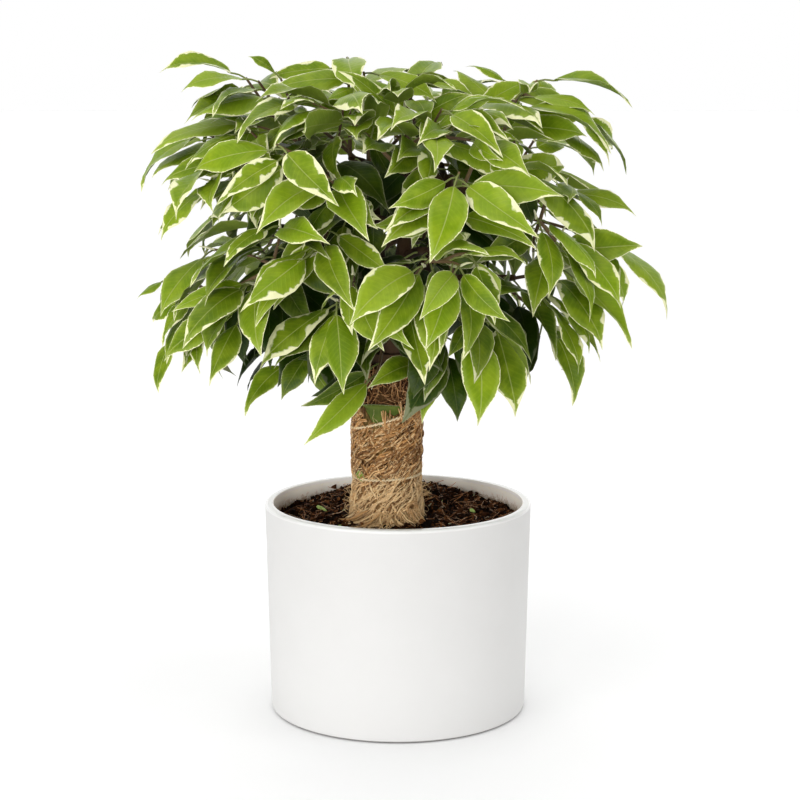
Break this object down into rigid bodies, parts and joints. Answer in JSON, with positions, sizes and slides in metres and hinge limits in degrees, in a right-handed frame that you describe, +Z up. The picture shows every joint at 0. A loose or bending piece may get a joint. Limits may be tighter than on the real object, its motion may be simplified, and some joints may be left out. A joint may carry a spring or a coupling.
{
  "type": "potted weeping fig",
  "caption": "Small weeping fig with variegated drooping leaves on a coir-wrapped trunk, in a plain round pot.",
  "frame": {"origin": "centre of the pot's flat underside, on the surface it stands on", "axes": "+Z up along the plant's height; the side that the picture shows faces -Y, and +X is to its right"},
  "size_m": [0.2839, 0.2622, 0.355],
  "materials": {
    "white_ceramic": "satin",
    "potting_soil": "matte",
    "fig_bark": "matte",
    "coir": "matte",
    "straw_netting": "matte",
    "twine": "matte",
    "leaf_green": "gloss"
  },
  "bodies": {
    "root": {"pot": "white_ceramic", "soil": "potting_soil", "trunk": "fig_bark", "coir_sleeve": "coir", "netting": "straw_netting", "lower_tie": "twine", "upper_tie": "twine", "tucked_leaf": "leaf_green", "shoot_01": "leaf_green", "shoot_02": "leaf_green", "shoot_03": "leaf_green", "shoot_04": "leaf_green", "shoot_05": "leaf_green", "shoot_06": "leaf_green", "shoot_07": "leaf_green", "shoot_08": "leaf_green", "shoot_09": "leaf_green", "shoot_10": "leaf_green", "shoot_11": "leaf_green", "shoot_12": "leaf_green", "shoot_13": "leaf_green", "shoot_14": "leaf_green", "shoot_15": "leaf_green", "shoot_16": "leaf_green", "shoot_17": "leaf_green", "shoot_18": "leaf_green", "shoot_19": "leaf_green", "shoot_20": "leaf_green", "shoot_21": "leaf_green", "shoot_22": "leaf_green", "shoot_23": "leaf_green", "shoot_24": "leaf_green", "shoot_25": "leaf_green", "shoot_26": "leaf_green", "shoot_27": "leaf_green", "shoot_28": "leaf_green", "shoot_29": "leaf_green", "shoot_30": "leaf_green", "shoot_31": "leaf_green", "shoot_32": "leaf_green", "shoot_33": "leaf_green", "shoot_34": "leaf_green", "shoot_35": "leaf_green", "shoot_36": "leaf_green", "shoot_37": "leaf_green", "shoot_38": "leaf_green", "shoot_39": "leaf_green", "shoot_40": "leaf_green", "shoot_41": "leaf_green", "shoot_42": "leaf_green", "shoot_43": "leaf_green", "shoot_44": "leaf_green", "shoot_45": "leaf_green", "shoot_46": "leaf_green", "shoot_47": "leaf_green", "shoot_48": "leaf_green", "shoot_49": "leaf_green", "shoot_50": "leaf_green"}
  },
  "joints": []
}
